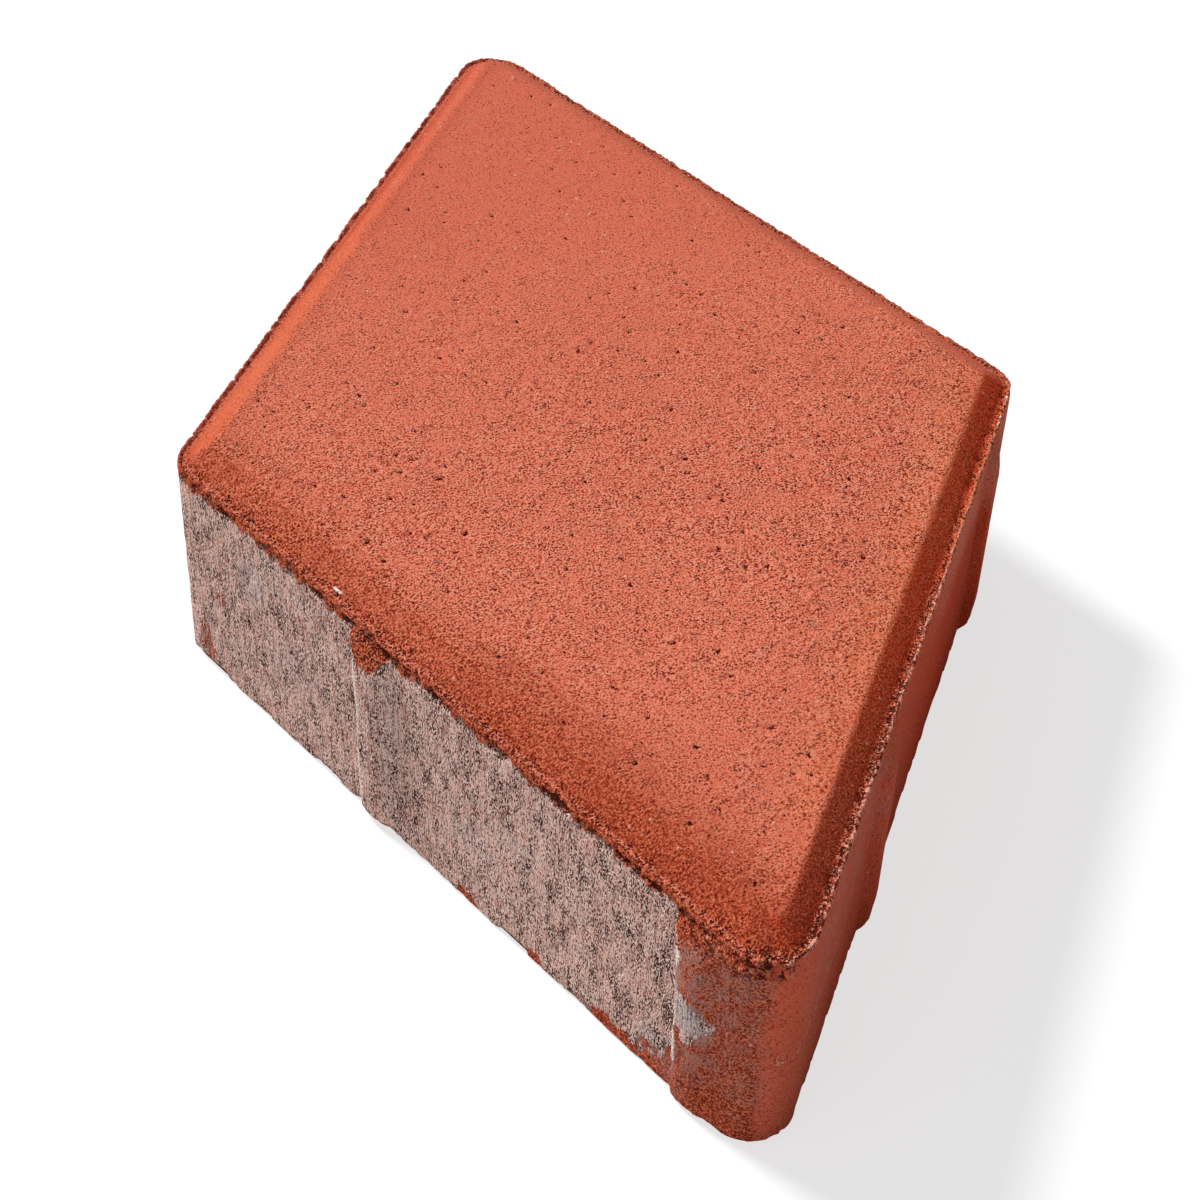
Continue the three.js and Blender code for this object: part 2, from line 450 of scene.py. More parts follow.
def front_band(point, flat, burr, below):
    """The crumbly band below the lip at the front corner, with gaps over, under and in it.

    Gives how much this is the band, how far it stands out and how open a gap is here, which is painted dark
    as its shade.
    """
    foot = 4.0 + 1.2 * rough(flat, 3, 51)
    band = burr * ramp(foot + 0.4, foot - 0.2, below)
    crumb = grains(point, CRUMB)
    out = band * (0.5 + 1.9 * crumb + 0.7 * ramp(0.4, foot - 0.8, below))
    under = burr * ramp(1.0, 0.3, abs(below - foot - 0.4))
    over = 0.9 * burr * ramp(0.7, 0.2, abs(below - 0.9))
    return band, out, max(under, band * ramp(-0.03, -0.18, crumb), over)


def wall_tone_and_shade_red(column, height):
    """Where the mould's steel wiped a wall, how much paler its red is here, and how much painted shade red
    it takes, a brighter red that stands in for light on the walls away from the key light.
    """
    if column.wall == FRONT_RIGHT:
        paler = 0.35 * ramp(50, 120, column.along) + 0.25 * ramp(145, 188, column.along)
        paler += 0.8 * ramp(34, 48, height) * ramp(95, 55, column.along)
        return paler, 0.6 + 0.4 * ramp(30, 70, column.along)
    if column.wall == FRONT_LEFT:
        return 0.6, 1.0
    return (0.45, 0.0) if column.wall == BACK_LEFT else (0.1, 1.0)


def lip_notch(flat, edge):
    """How deep the lip is torn here."""
    return edge.tear * ramp(0.10, 0.36, rough(flat, 2.2, 21))


def lip_wander(flat, edge):
    """How far out of line the lip is here."""
    wave = 2 * edge.wave * rough(flat, 9, 9) + 0.8 * edge.wave * rough(flat, 1.8, 4)
    return wave - 0.8 * lip_notch(flat, edge)


def light_grain(column, row):
    """How much this is one of the few light grains, from 0 to 1."""
    found = 0.0
    for wall, along, inset, half_long, half_wide in LIGHT_GRAINS:
        if column.wall == wall:
            away = math.hypot((column.along - along) / half_long, (row.inset - inset) / half_wide)
            found = max(found, ramp(1.2, 0.7, away))
    return found


def top_wipe(y):
    """How smooth the top is here: more so towards the back corner, and a little towards the front one."""
    return 0.88 * ramp(-40, 110, y) + 0.4 * ramp(-50, -125, y)


def shade_red_share(flat):
    """How much painted shade red the top's skin takes here: only beside the front right chamfer, on the side
    away from the key light.
    """
    from_left = ramp(8.0, 28.0, inside_top(flat, FRONT_LEFT))
    return 0.3 * ramp(12.0, 2.0, inside_top(flat, FRONT_RIGHT)) * from_left


def pale_share(flat):
    """How pale the top is here: less so in its deep bands."""
    deep = 0.0
    for wall, reach, strength in DEEP_BANDS:
        spread = reach * (1 + 0.6 * rough(flat, 30, wall))
        if wall == FRONT_LEFT:
            nearer = 0.5 + 0.5 * ramp(-45, -110, flat.y)
            spread *= nearer
            strength *= nearer
        deep = max(deep, strength * ramp(spread, 0.0, inside_top(flat, wall)))
    return 1 - deep


# ---- The points of the section ----

# Each of the first three takes a point, the same point at no height, its column and its row. It
# gives how far the point moves outwards, upwards and the way that the surface faces, and its finish.


def wall_point(point, flat, column, row):
    """A point of a wall, with its ribs, its film and the chips along its foot."""
    height = row.height
    below = wall_top - height
    wobble = 0.4 * rough(point, 4, 8)
    facing = abs(column.facing.dot(wall_outward[FRONT_LEFT])) + 0.15 * rough(point, 6, 18)
    sleek = ramp(0.82, 0.5, facing)
    coarse = 1 - 0.85 * sleek
    rib, sloped, flank = rib_shape(column.along, height)
    broken = foot_chip(flat, column, height, sleek, wobble)
    hollow = lip_hollow(flat, column, height, wobble)
    burr = front_burr(column)
    band, band_out, gap = front_band(point, flat, burr, below)
    near_lip = ramp(2.0, 0.0, below)

    out = rib + 0.15 * rough(point, 22) + coarse * 0.15 * rough(point, 4, 3)
    pit = rough(Vector((point.x, point.y, point.z * 0.5)), 2.2, 6)
    out -= coarse * 0.4 * ramp(0.3, 0.6, pit)
    out += 0.6 * coarse * sloped * (grains(point, TORN_GRAIN) + rough(point, 3, 14))
    out -= broken * (0.75 + 0.3 * rough(point, 1.5))
    out -= 0.7 * edges[FRONT_LEFT].hollow * hollow * (1 + 0.8 * rough(point, 1.4))
    out += band_out
    out -= 0.5 * gap * (1 - band)
    out += near_lip * lip_wander(flat, column.edge)
    out += 0.6 * near_lip * column.edge.bead * grains(point, LIP_GRAIN)

    film = film_cover(point, flat, column, height, sloped) * ramp(0.8, 0.0, broken)
    film *= 1 - band
    # its gaps and hollows, which the finish paints dark as their shade
    hollow = max(hollow * (1 - burr), gap * ramp(-0.4, 0.0, rough(point, 1.8, 57)))
    hollow = max(hollow, 0.5 * coarse * sloped * ramp(0.15, -0.15, grains(point, TORN_GRAIN)))
    crumbly = max(0.35 * (1 - film), ramp(0.0, 0.8, broken), 0.9 * sloped, near_lip * column.edge.gap,
                  hollow, 0.2 * band, strongest(TORN_PLACES, column, height, wobble))
    paler, shade_red_weight = wall_tone_and_shade_red(column, height)
    skinned = 1 - strongest(BARE_PLACES, column, height, wobble)
    # a painted highlight along the rim of each rib's steep flank, drawn in the film's light tint
    white_and_highlight = flank * skinned * ramp(2, 8, height) * (0.9 + 0.8 * rough(point, 3, 71))
    white_and_highlight *= 1 - sleek
    # the tops of the front band's crumbs are painted paler and light, as a highlight
    stands = band * ramp(0.0, 0.3, grains(point, CRUMB))
    scuff = SCUFF.share(column, height, 0.8 * rough(point, 4, 73))
    low = 0.25 * (1 - sleek) * ramp(24, 10, height)
    finish = Finish(film=max(film, white_and_highlight), grey=strongest(GREY_PLACES, column, height, wobble),
                    pale=0.12 + (paler - 0.12) * sleek + 0.6 * stands - low,
                    sleek=sleek * (1 - 0.8 * sloped), wiped=0.9 * sleek,
                    shade_red=sleek * (1 - 0.6 * paler) * shade_red_weight, hollow=hollow, crumbly=crumbly * coarse,
                    light=max(white_and_highlight, 0.5 * stands, scuff))
    return out, 0.0, 0.0, finish


def lip_point(point, flat, column, row):
    """A point of the lip: grains of sand in a line, torn out here and there."""
    edge = column.edge
    burr = front_burr(column)
    bead = grains(point, LIP_GRAIN)
    crumb = grains(point, CRUMB)
    crest = (row.height - wall_top) / LIP_RISE
    out = lip_wander(flat, edge) + 0.7 * burr * (0.6 + rough(flat, 3.5, 17))
    uneven = 0.5 * edge.wave * rough(flat, 3, 12) - 0.9 * lip_notch(flat, edge) - edge.sunk
    lift = crest * burr * crumb + crest * uneven
    lift += 0.6 * edge.wiped * LIP_RISE * max(0.0, -crest)
    proud = edge.bead * bead + 0.3 * edge.bead * rough(point, 0.6) + 2.2 * burr * crumb

    inner = ramp(0.6, 0.9, row.inset)
    kept = 1 - edge.wiped * ramp(0.9, 1.7, row.inset)
    loose = ramp(50, 100, column.along) if column.wall == FRONT_RIGHT else 0.0
    # gaps between the grains and torn places, painted dark as their shade
    torn = 1.2 * inner * ramp(-0.3, 0.1, rough(flat, 1.8, 41))
    hollow = edge.gap * max(ramp(0.0, -0.3, bead), torn)
    hollow = max(hollow, burr * ramp(0.0, -0.12, crumb))
    hollow *= 1 + 0.9 * loose
    # the crumbs at the front corner are painted paler on their tops, as a highlight
    pale = edge.pale * (1 - edge.gap) + 0.1 + 0.5 * burr * ramp(0.0, 0.3, crumb)
    if column.wall == FRONT_LEFT:
        pale += 0.35 * inner - 0.3 * (1 - inner) * (1 - burr)
    # on the front right, the lip's outer grains are painted paler, as a highlight on the crest
    if column.wall == FRONT_RIGHT:
        pale += (0.3 + 0.4 * ramp(95, 50, column.along)) * (1 - inner)
    # painted highlights on the grains' tops, where the edge takes them
    light = edge.light * (1 - inner * (1 - 0.6 * loose)) * ramp(-0.2, 0.1, bead)
    light *= 0.65 + 0.35 * ramp(30, 110, column.along) + 0.4 * rough(flat, 10, 61)
    light = max(light, 2.0 * light_grain(column, row))
    finish = Finish(pale=pale, shade_red=0.9 * edge.shade_red * (1 - 0.55 * loose), light=light,
                    wiped=edge.wiped * (1 - edge.gap), hollow=hollow * kept,
                    crumbly=kept * edge.gap * (1 + 0.7 * inner))
    return out, lift, proud, finish


def chamfer_point(point, flat, column, row):
    """A point of the chamfer or of the top's rim."""
    edge = column.edge
    inside = row.inset - LIP_WIDTH - edge.run
    coarse = 1 - edge.wiped
    crumb = light_grain(column, row)
    lift = height_at(flat, chamfer_share(inside, edge)) - row.height
    proud = coarse * (0.18 * grains(point, 1.1) + 0.08 * rough(point, 2.2)) + 0.12 * rough(point, 11)
    foot = (1 - 0.6 * edge.shade_red) * ramp(wall_top + 1.4, wall_top, row.height)
    proud -= foot * 0.35 * (0.6 + rough(point, 1.6, 31)) * (1 - 0.7 * edge.wiped)

    pale = edge.pale + (1 - edge.pale) * ramp(-0.5, 0.4, inside)
    if column.wall == FRONT_LEFT:
        pale *= 1 - 0.95 * ramp(70, 40, column.along) * ramp(3.0, -1.0, inside)
    pale *= 1 - 0.6 * (1 - 0.6 * edge.pale) * ramp(wall_top + 2.5, wall_top, row.height)
    # painted shade red on the chamfer that faces away from the key light, fading further along, and beside
    # it on the top
    shade_red = edge.shade_red * ramp(0.5, -0.5, inside) * (1 - 0.6 * ramp(100, 150, column.along))
    shade_red = max(shade_red, shade_red_share(flat) * ramp(-0.5, 0.5, inside))
    # on the back left, painted shade in a band along the chamfer's foot, wider and darker further along the
    # wall, and painted shade red over the chamfer, fading further along
    if column.wall == BACK_LEFT:
        reach = 1.5 + 3.5 * ramp(60, 150, column.along)
        pale *= 1 - 0.6 * ramp(10, 110, column.along) * ramp(reach, 0.0, row.inset - LIP_WIDTH)
        shade_red = 0.45 * ramp(2.0, -1.0, inside) * (1 - 0.5 * ramp(60, 150, column.along))
    # gaps at the chamfer's foot, painted dark as their shade
    hollow = (0.6 + 0.5 * front_burr(column)) * foot * coarse * ramp(-0.1, 0.3, rough(flat, 1.8, 41))
    wiped = max(edge.wiped * ramp(0.9, 0.2, inside), top_wipe(point.y))
    finish = Finish(pale=pale * pale_share(flat), shade_red=shade_red, wiped=wiped, crumbly=0.8 * foot * coarse,
                    hollow=hollow, light=2.0 * crumb)
    return 0.0, lift, proud + 0.3 * crumb, finish


def stone_point(place, column, row):
    """Where the rough surface has this point of the smooth section, and its finish."""
    point = Vector((place.x, place.y, row.height))
    if row.zone == "underside":
        return point, Finish(**UNDERSIDE_FINISH)
    shaped = {"wall": wall_point, "lip": lip_point, "chamfer": chamfer_point, "top": chamfer_point}
    out, lift, proud, finish = shaped[row.zone](point, place.to_3d(), column, row)
    facing = column.facing.to_3d()
    normal = facing * math.cos(row.tilt) + Vector((0, 0, math.sin(row.tilt)))
    return point + facing * out + Vector((0, 0, lift)) + normal * proud, finish


# ---- The top and the underside ----

FLECK_TRIES = 5000        # places tried for a pit or a standing grain
FLECK_CELL = 2.4          # flecks keep about this far apart
FLECK_INSET = 3.0         # and this far inside the chamfer
PIT_RADIUS = 0.8
PIT_DEPTH = 0.5
GRAIN_RADIUS = 0.9
GRAIN_RISE = 0.3


class Fleck:
    """A pit or a standing grain in the top: rings of points round its middle."""

    def __init__(self, place, radius, rings, turn):
        self.place = place
        self.radius = radius
        self.rings = rings        # each a share of the radius, a number of points and their rise
        self.turn = turn

    def points(self):
        """Each point with how far it stands off the surface."""
        found = []
        for share, count, rise in self.rings:
            for k in range(count):
                angle = self.turn + 2 * math.pi * k / count
                stretch = 1 + 0.2 * math.sin(3 * angle + self.turn)
                stretch += 0.35 * math.cos(2 * angle + 5 * self.turn)
                offset = Vector((math.cos(angle), math.sin(angle))) * share * self.radius * stretch
                found.append((self.place + offset, rise))
        return found


def inside_rhombus(place, inset):
    return all(place.dot(outward) < inradius - inset for outward in wall_outward)


def cell_of(place):
    return round(place.x / FLECK_CELL), round(place.y / FLECK_CELL)


def cells_round(place):
    x, y = cell_of(place)
    return [(x + i, y + j) for i in (-1, 0, 1) for j in (-1, 0, 1)]


def scatter_flecks(seed):
    """Pits and grains by turns over the top. They are fewer and smaller towards the far corner."""
    chance = random.Random(seed)
    flecks = []
    taken = set()
    for _ in range(FLECK_TRIES):
        place = Vector((chance.uniform(-half_width, half_width), chance.uniform(-half_length, half_length)))
        luck = chance.random()
        turn = chance.uniform(0, 2 * math.pi)
        size = chance.uniform(0.5, 1.0)
        near = ramp(120, -60, place.y)
        clustered = 0.5 + rough(place.to_3d(), 12, 44)
        if luck > (0.7 + 0.3 * near) * clustered or not inside_rhombus(place, top_inset + FLECK_INSET):
            continue
        if not taken.isdisjoint(cells_round(place)):
            continue
        taken.add(cell_of(place))
        size *= 0.8 + 0.2 * near
        if len(flecks) % 2:
            rings = ((1.0, 7, 0.0), (0.5, 5, -PIT_DEPTH * size))
            flecks.append(Fleck(place, PIT_RADIUS * size, rings, turn))
        else:
            rings = ((1.0, 6, 0.0), (0.5, 4, GRAIN_RISE * size))
            flecks.append(Fleck(place, GRAIN_RADIUS * size, rings, turn))
    return flecks


def grid_points(inset, step, seed):
    """An uneven grid over the rhombus."""
    chance = random.Random(seed)
    found = []
    for j in range(-int(half_length / step), int(half_length / step) + 1):
        for i in range(-int(half_width / step) - 1, int(half_width / step) + 2):
            jitter = Vector((chance.uniform(-0.2, 0.2), chance.uniform(-0.2, 0.2))) * step
            place = Vector(((i + 0.5 * (j % 2)) * step, j * step)) + jitter
            if inside_rhombus(place, inset):
                found.append(place)
    return found


def clear_of(spots, flecks):
    """The spots that lie outside every fleck."""
    at = {cell_of(fleck.place): fleck for fleck in flecks}
    kept = []
    for spot in spots:
        near = [at[cell] for cell in cells_round(spot) if cell in at]
        if all((spot - fleck.place).length > fleck.radius * 1.3 + 0.3 for fleck in near):
            kept.append(spot)
    return kept


def top_places():
    """The top's points, each with its offset and the marks that its fleck gives it."""
    flecks = scatter_flecks(seed=23)
    grid = grid_points(top_inset + TOP_GRID_INSET, TOP_STEP, seed=5)
    inner = [(place, 0.0, {}) for place in clear_of(grid, flecks)]
    for fleck in flecks:
        for place, offset in fleck.points():
            # pits are marked to be painted dark as their shade, and standing grains to be painted light as a
            # highlight
            marks = {"hollow": 0.85} if offset < 0 else {"light": 0.5} if offset > 0 else {}
            inner.append((place, offset, marks))
    return inner


def underside_places():
    return [(place, 0.0, {}) for place in grid_points(UNDERSIDE_GRID_INSET, UNDERSIDE_STEP, seed=11)]


def top_surface(place):
    """The height of the top here, and its finish."""
    flat = place.to_3d()
    share = max(chamfer_share(inradius - LIP_WIDTH - edge.run - place.dot(wall_outward[wall]), edge)
                for wall, edge in edges.items())
    height = height_at(flat, share) + 0.05 * rough(flat, 2.5, 2) + 0.1 * rough(flat, 25) - 0.1
    return height, Finish(pale=pale_share(flat), wiped=top_wipe(place.y), shade_red=shade_red_share(flat))


def underside_surface(place):
    """The height of the underside here, and its finish."""
    return 0.3 + 0.3 * rough(place.to_3d(), 9), Finish(**UNDERSIDE_FINISH)


# ---- The mesh ----


def new_object(name, data):
    made = bpy.data.objects.new(name, data)
    bpy.context.scene.collection.objects.link(made)
    return made


class Surface:
    """The mesh as it grows: its points, their finishes and its faces."""

    def __init__(self):
        self.points = []
        self.finishes = []
        self.faces = []

    def add(self, point, finish):
        self.points.append(point)
        self.finishes.append(finish)
        return len(self.points) - 1

    def join(self, lower, upper):
        """Faces between two rows, of which one may have twice as many columns."""
        fewer = min(len(lower), len(upper))
        a = len(lower) // fewer
        b = len(upper) // fewer
        for i in range(fewer):
            low = [lower[(a * i + k) % len(lower)] for k in range(a + 1)]
            high = [upper[(b * i + k) % len(upper)] for k in range(b + 1)]
            if a == b:
                self.faces.append((low[0], low[1], high[1], high[0]))
            elif b > a:
                self.faces += [(low[0], high[1], high[0]), (low[0], low[1], high[1]),
                               (low[1], high[2], high[1])]
            else:
                self.faces += [(low[0], low[1], high[0]), (low[1], high[1], high[0]),
                               (low[1], low[2], high[1])]

    def fill(self, rim, inner, surface_at, upwards):
        """Triangles across a rim. Each inner point is a place, its offset and its fleck's marks."""
        count = len(rim)
        around = [(i, (i + 1) % count) for i in range(count)]
        wanted = [self.points[i].to_2d() for i in rim] + [place for place, _, _ in inner]
        # the 1 keeps only what is inside the rim
        made, _, triangles, origins, _, _ = delaunay_2d_cdt(wanted, around, [list(range(count))], 1, 1e-6)
        index = []
        for place, sources in zip(made, origins):
            source = min(sources)
            if source < count:
                index.append(rim[source])
                continue
            _, offset, marks = inner[source - count]
            height, finish = surface_at(place)
            for name, value in marks.items():
                setattr(finish, name, value)
            index.append(self.add(Vector((place.x, place.y, height + offset)), finish))
        for triangle in triangles:
            turned = triangle if upwards else reversed(triangle)
            self.faces.append(tuple(index[k] for k in turned))


def build_stone():
    surface = Surface()
    levels = []
    for row in rows:
        made = [stone_point(place, column, row) for place, column in zip(row.outline(), row.columns)]
        levels.append([surface.add(point, finish) for point, finish in made])
    for lower, upper in zip(levels, levels[1:]):
        surface.join(lower, upper)
    surface.fill(levels[-1], top_places(), top_surface, True)
    surface.fill(levels[0], underside_places(), underside_surface, False)

    mesh = bpy.data.meshes.new("cast_stone")
    mesh.from_pydata([(p.x * MM, p.y * MM, max(0.0, p.z) * MM) for p in surface.points], [], surface.faces)
    for name in Finish.NAMES:
        layer = mesh.attributes.new(name, "FLOAT", "POINT")
        layer.data.foreach_set("value", [getattr(finish, name) for finish in surface.finishes])
    mesh.validate()
    mesh.shade_smooth()
    return new_object("cast_stone", mesh)


# ---- Finishes ----


def linear(code):
    """An sRGB hex colour as linear RGBA."""
    parts = [int(code[i:i + 2], 16) / 255 for i in (1, 3, 5)]
    return tuple(c / 12.92 if c <= 0.04045 else ((c + 0.055) / 1.055) ** 2.4 for c in parts) + (1.0,)


def add(tree, kind, inputs=None, **settings):
    """Adds a shader node. An input is a value, an output, or a node for its first output."""
    made = tree.nodes.new("ShaderNode" + kind)
    for name, value in settings.items():
        setattr(made, name, value)
    for name, value in (inputs or {}).items():
        if isinstance(name, int):
            socket = made.inputs[name]
        else:
            socket = next(s for s in made.inputs if s.enabled and s.name == name)
        if isinstance(value, bpy.types.Node):
            value = next(s for s in value.outputs if s.enabled)
        if isinstance(value, bpy.types.NodeSocket):
            tree.links.new(value, socket)
        else:
            socket.default_value = value
    return made


def new_material(name):
    material = bpy.data.materials.new(name)
    material.use_nodes = True
    material.node_tree.nodes.clear()
    return material


def calc(tree, operation, *values, clamp=False):
    return add(tree, "Math", dict(enumerate(values)), operation=operation, use_clamp=clamp)


def mix(tree, share, under, over):
    """One colour over another, by a share."""
    return add(tree, "Mix", {"Factor": share, "A": under, "B": over}, data_type="RGBA")


def between(tree, value, start, full, most=1.0):
    """A share that climbs from 0 where the value is at its start to its most where it is full."""
    return add(tree, "MapRange", {"Value": value, "From Min": start, "From Max": full, "To Max": most})


def per_mm(size):
    """The scale of a pattern whose lumps are this many millimetres."""
    return 1 / (size * MM)


def cement_skin(tree, place, marks):
    """The matt skin of red cement: pale where the press stamp packed it, deeper near the edges, and with a
    painted shade red, brighter and warmer, on the sides away from the key light.

    Gives its colour, and how pale it is.
    """
    broad = add(tree, "TexNoise", {"Vector": place, "Scale": per_mm(38), "Detail": 2.0})
    drift = calc(tree, "MULTIPLY_ADD", broad, 0.5, -0.25)
    pale = calc(tree, "ADD", marks["pale"], drift, clamp=True)
    shade_orange, wiped = (calc(tree, "SUBTRACT", marks[name], marks["sleek"], clamp=True)
                     for name in ("shade_red", "wiped"))
    # the painted shade red: a brighter red, and a warmer pale, on the sides away from the key light
    deep = mix(tree, marks["shade_red"], linear("#9d3d27"), linear("#d84119"))
    light = mix(tree, shade_orange, linear("#dc6f55"), linear("#e5844e"))
    colour = mix(tree, pale, deep, light)

    # deeper where it was wiped, and browner on torn edges, which have no skin
    for mark, most, tint in ((wiped, 0.2, "#8f2c1c"), (marks["crumbly"], 0.55, "#8e3119")):
        colour = mix(tree, calc(tree, "MULTIPLY", mark, most), colour, linear(tint))
    return colour, pale


def light_sand(tree, place, marks, ragged):
    """How much this is a grain of light sand: rare ones anywhere, and those that the mesh marks, which
    include its painted highlights.
    """
    grit = add(tree, "TexVoronoi", {"Vector": place, "Scale": per_mm(1.9)})
    lot = add(tree, "SeparateColor", {0: grit.outputs["Color"]})
    rare = calc(tree, "MULTIPLY_ADD", marks["crumbly"], -0.08, 0.965)
    chosen = calc(tree, "GREATER_THAN", lot, rare)
    close = between(tree, grit.outputs["Distance"], 0.28, 0.16, 0.7)
    grain = calc(tree, "MULTIPLY", chosen, close)
    marked = calc(tree, "ADD", marks["light"], ragged)
    return calc(tree, "MAXIMUM", grain, between(tree, marked, 0.35, 0.8, 0.85))


def pressed_face(tree, place, marks):
    """Dry-pressed concrete, red with iron oxide: grains of sand in a matt skin of cement, with painted shade
    between and highlights on its grains, and painted shade in its pits and gaps.

    Its finest sand is too fine to show, and is drawn half a millimetre wide. Gives its colour, its
    height in millimetres, and how open its gaps are.
    """
    colour, pale = cement_skin(tree, place, marks)
    sand, patch, holes = (
        add(tree, "TexNoise", {"Vector": place, "Scale": per_mm(size), "Detail": detail,
                               "Roughness": roughness})
        for size, detail, roughness in ((0.5, 1.0, 0.6), (6, 3.0, 0.5), (1.2, 3.0, 0.7)))

    # how much the sand shows: less where the steel wiped it, and in patches
    coarse = calc(tree, "MULTIPLY_ADD", marks["wiped"], -0.9, 1.0)
    sandier = add(tree, "MapRange", {"Value": patch, "From Min": 0.35, "From Max": 0.65,
                                     "To Min": 0.7, "To Max": 1.2})
    coarse = calc(tree, "MULTIPLY", coarse, sandier)

    # the sand's darker and lighter specks, mostly painted shade between the grains and a painted highlight
    # on them, and pits painted dark as their shade, which come in clusters
    cluster = calc(tree, "MULTIPLY_ADD", patch, 0.2, holes)
    low, high, pit = (
        calc(tree, "MULTIPLY", between(tree, *levels), coarse, clamp=True)
        for levels in ((sand, 0.47, 0.38, 0.88), (sand, 0.50, 0.59, 0.9), (cluster, 0.73, 0.80, 0.8)))
    shade = mix(tree, pale, linear("#88260e"), linear("#982a10"))
    painted_highlight = mix(tree, pale, linear("#e67a50"), linear("#ec987c"))

    # the deep gaps that the mesh has too, with ragged edges, painted dark as their shade
    ragged = calc(tree, "MULTIPLY_ADD", sand, 2.4, -1.2)
    gap = between(tree, calc(tree, "SUBTRACT", marks["hollow"], ragged), 0.35, 0.8)

    grain = light_sand(tree, place, marks, ragged)
    # near white for the light grains, and for the brightest painted highlights
    white_and_highlight = between(tree, marks["light"], 1.1, 1.5)
    for share, tint in ((low, shade), (high, painted_highlight), (pit, linear("#74220f")), (gap, linear("#5a160c")),
                        (grain, linear("#e8a48e")), (white_and_highlight, linear("#fbf4ee"))):
        colour = mix(tree, share, colour, tint)

    rise = calc(tree, "MULTIPLY", coarse, 0.5)
    height = calc(tree, "MULTIPLY", sand, rise)
    sunk = calc(tree, "MAXIMUM", pit, gap)
    for pattern, most in ((sunk, -0.4), (grain, 0.2)):
        height = calc(tree, "MULTIPLY_ADD", pattern, most, height)
    return colour, height, gap


def cement_film(tree, place, marks):
    """Cement slurry that the mould's side drew upwards over the wall, dried to a greyish pink.

    Its dashes and streaks stand upright, and are drawn as wide as they need to be to show. Gives
    its colour, its height in millimetres, and how much of it there is.
    """
    upright = add(tree, "Mapping", {"Vector": place, "Scale": (1.0, 1.0, 0.4)})
    long = add(tree, "Mapping", {"Vector": place, "Scale": (1.0, 1.0, 0.06)})
    drag, streak, tone, cluster = (
        add(tree, "TexNoise", {"Vector": vector, "Scale": per_mm(size), "Detail": detail,
                               "Roughness": 0.6})
        for vector, size, detail in ((upright, 0.3, 1.0), (long, 0.5, 1.0), (place, 8, 3.0),
                                     (upright, 3, 3.0)))

    # the dark dashes crowd together in clusters and on torn film, and are fewer where it is grey
    sparse = 0.25
    for pattern, weight in ((cluster, -0.5), (marks["crumbly"], -0.12), (marks["grey"], 0.07)):
        sparse = calc(tree, "MULTIPLY_ADD", pattern, weight, sparse)
    sparse = calc(tree, "ADD", drag, sparse)

    shade = between(tree, tone, 0.35, 0.65)
    colour = mix(tree, shade, linear("#f2a996"), linear("#ffc5b5"))
    colour = mix(tree, marks["grey"], colour, linear("#ccbabd"))
    # over that its tints, each with the levels of a pattern where it begins and is full, and its most
    shares = {}
    for name, pattern, start, full, most, tint in (
            ("blush", cluster, 0.57, 0.66, 0.6, "#cf7560"),
            ("light streaks", streak, 0.52, 0.66, 0.6, "#fcd8ca"),
            ("light dashes", drag, 0.51, 0.58, 0.97, "#ffe6da"),
            ("dark streaks", streak, 0.45, 0.36, 0.4, "#7c4a3e"),
            ("dark dashes", sparse, 0.445, 0.39, 0.97, "#431b13"),
            # the painted highlight on the ribs' rims
            ("lime on the ribs' rims", marks["light"], 0.3, 0.7, 0.95, "#fff0e4")):
        shares[name] = between(tree, pattern, start, full, most)
        colour = mix(tree, shares[name], colour, linear(tint))
    relief = calc(tree, "MULTIPLY", drag, 1.1)
    height = calc(tree, "MULTIPLY_ADD", shares["dark dashes"], -0.3, relief)

    # its edges end in hairs
    hair = -2.2
    for pattern, weight in ((streak, 3.0), (drag, 1.4)):
        hair = calc(tree, "MULTIPLY_ADD", pattern, weight, hair)
    there = between(tree, marks["film"], 0.1, 0.5)
    hair = calc(tree, "MULTIPLY", hair, there)
    spread = calc(tree, "MULTIPLY_ADD", marks["film"], 2.0, hair)
    return colour, height, between(tree, spread, 0.75, 1.15)


def stained_wall(tree, place, colour, marks):
    """The red of the walls: greyish where a haze of cement dried on it, with faint upright streaks
    where the mould's steel wiped it flat."""
    tall = add(tree, "Mapping", {"Vector": place, "Scale": (1.0, 1.0, 0.12)})
    blots = add(tree, "TexNoise", {"Vector": place, "Scale": per_mm(4), "Detail": 4.0, "Roughness": 0.7})
    wiping = add(tree, "TexNoise", {"Vector": tall, "Scale": per_mm(1.4), "Detail": 3.0})
    for pattern, start, full, most, mark, tint in ((blots, 0.38, 0.62, 0.9, "grey", "#b48a80"),
                                                   (wiping, 0.52, 0.75, 0.25, "sleek", "#cc6448")):
        share = between(tree, pattern, start, full, most)
        share = calc(tree, "MULTIPLY", share, marks[mark])
        colour = mix(tree, share, colour, linear(tint))
    return colour


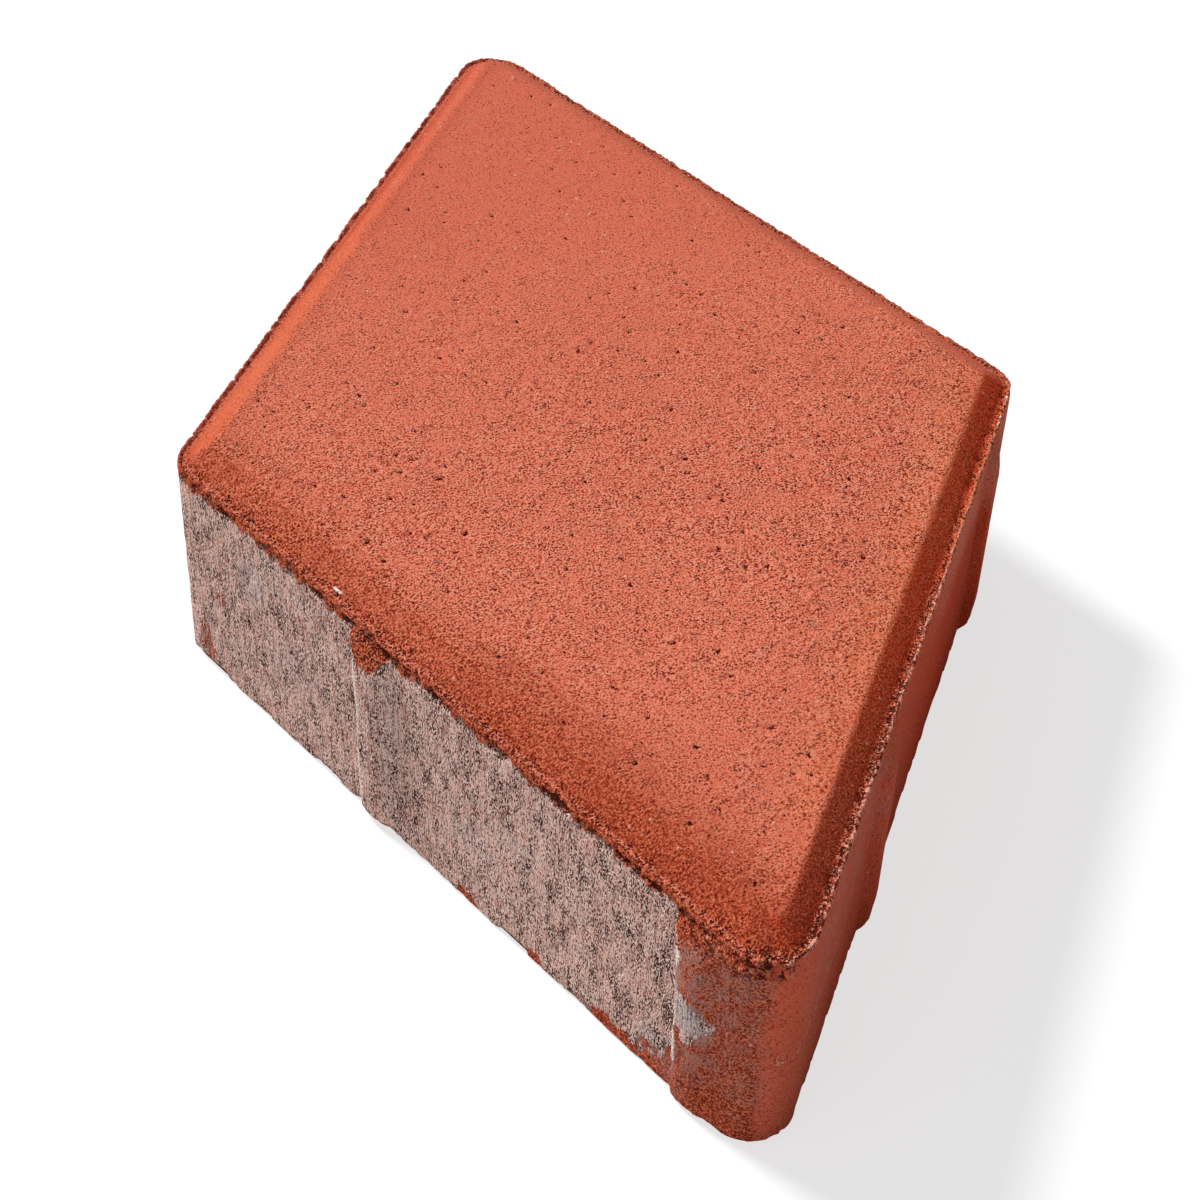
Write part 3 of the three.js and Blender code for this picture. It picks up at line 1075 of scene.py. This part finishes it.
def pressed_red_concrete():
    """The whole stone is one cast, and its finishes run into one another by the marks on its mesh."""
    material = new_material("pressed_red_concrete")
    tree = material.node_tree
    place = add(tree, "TexCoord").outputs["Object"]
    marks = {name: add(tree, "Attribute", attribute_name=name).outputs["Fac"] for name in Finish.NAMES}
    red, red_height, gap = pressed_face(tree, place, marks)
    red = stained_wall(tree, place, red, marks)
    film, film_height, cover = cement_film(tree, place, marks)
    cover = calc(tree, "SUBTRACT", cover, gap, clamp=True)
    colour = mix(tree, cover, red, film)
    height = add(tree, "Mix", {"Factor": cover, "A": red_height, "B": film_height}, data_type="FLOAT")
    bump = add(tree, "Bump", {"Height": height, "Distance": MM})
    # dusty and open-grained, so it hardly shines
    shader = add(tree, "BsdfPrincipled", {"Base Color": colour, "Roughness": 0.9, "IOR": 1.5,
                                          "Specular IOR Level": 0.1, "Normal": bump})
    add(tree, "OutputMaterial", {"Surface": shader})
    return material


# ---- Studio ----

WHITE = linear("#ffffff")
CAMERA_PLACE = Vector((-103.8, -440.4, 413.1))
CAMERA_AIM = Vector((0.6, -0.6, 0.0))
CAMERA_ROLL = 2.75
LENS = 75.75
SENSOR = 36.0
FLOOR_HALF_SIZE = 4.0     # in metres
FLOOR_GLOW = 1.06         # bright enough to be pure white where it isn't shaded
GLOW_SHARE = 0.65         # how much of what the camera sees of the floor is its glow
SKY_STRENGTH = 0.2        # what the surroundings add to the lamps


def add_camera():
    data = bpy.data.cameras.new("camera")
    data.lens = LENS
    data.sensor_width = SENSOR
    camera = new_object("camera", data)
    aim = (CAMERA_AIM - CAMERA_PLACE).to_track_quat("-Z", "Y").to_matrix().to_4x4()
    roll = Matrix.Rotation(math.radians(CAMERA_ROLL), 4, "Z")
    camera.matrix_world = Matrix.Translation(CAMERA_PLACE * MM) @ aim @ roll
    bpy.context.scene.camera = camera


def white_floor():
    """White where the camera sees it lit, with the stone's shadow left faint on it."""
    material = new_material("white_floor")
    tree = material.node_tree
    path = add(tree, "LightPath")
    matt = add(tree, "BsdfDiffuse", {"Color": linear("#e7e7e7")})
    seen_matt = add(tree, "BsdfDiffuse", {"Color": WHITE})
    seen_glow = add(tree, "Emission", {"Color": WHITE, "Strength": FLOOR_GLOW})
    seen = add(tree, "MixShader", {0: GLOW_SHARE, 1: seen_matt, 2: seen_glow})
    both = add(tree, "MixShader", {0: path.outputs["Is Camera Ray"], 1: matt, 2: seen})
    add(tree, "OutputMaterial", {"Surface": both})
    return material


def add_floor():
    s = FLOOR_HALF_SIZE
    mesh = bpy.data.meshes.new("floor")
    mesh.from_pydata([(-s, -s, 0), (s, -s, 0), (s, s, 0), (-s, s, 0)], [], [(0, 1, 2, 3)])
    mesh.materials.append(white_floor())
    floor = new_object("floor", mesh)


def add_sun(name, energy, spread, towards):
    """A sun that is seen from the stone in this direction. Its spread is its width in the sky."""
    sun = bpy.data.lights.new(name, "SUN")
    sun.energy = energy
    sun.angle = math.radians(spread)
    lamp = new_object(name, sun)
    lamp.matrix_world = Vector(towards).to_track_quat("Z", "Y").to_matrix().to_4x4()


def add_world():
    """A dim sky for the stone, and plain white behind it."""
    world = bpy.data.worlds.new("studio")
    world.use_nodes = True
    tree = world.node_tree
    tree.nodes.clear()
    path = add(tree, "LightPath")
    sky = add(tree, "Background", {"Color": WHITE, "Strength": SKY_STRENGTH})
    backdrop = add(tree, "Background", {"Color": WHITE, "Strength": 1.0})
    both = add(tree, "MixShader", {0: path.outputs["Is Camera Ray"], 1: sky, 2: backdrop})
    add(tree, "OutputWorld", {"Surface": both})
    bpy.context.scene.world = world


# ---- The scene ----

stone = build_stone()
stone.data.materials.append(pressed_red_concrete())
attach(stone, "root")
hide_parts(STONE)

add_camera()
add_floor()
add_sun("key", energy=3.5, spread=10, towards=(-0.55, 0.68, 0.90))
add_sun("fill", energy=0.35, spread=60, towards=(-0.90, -0.40, 0.45))
add_world()
bpy.context.scene.view_settings.view_transform = "Standard"
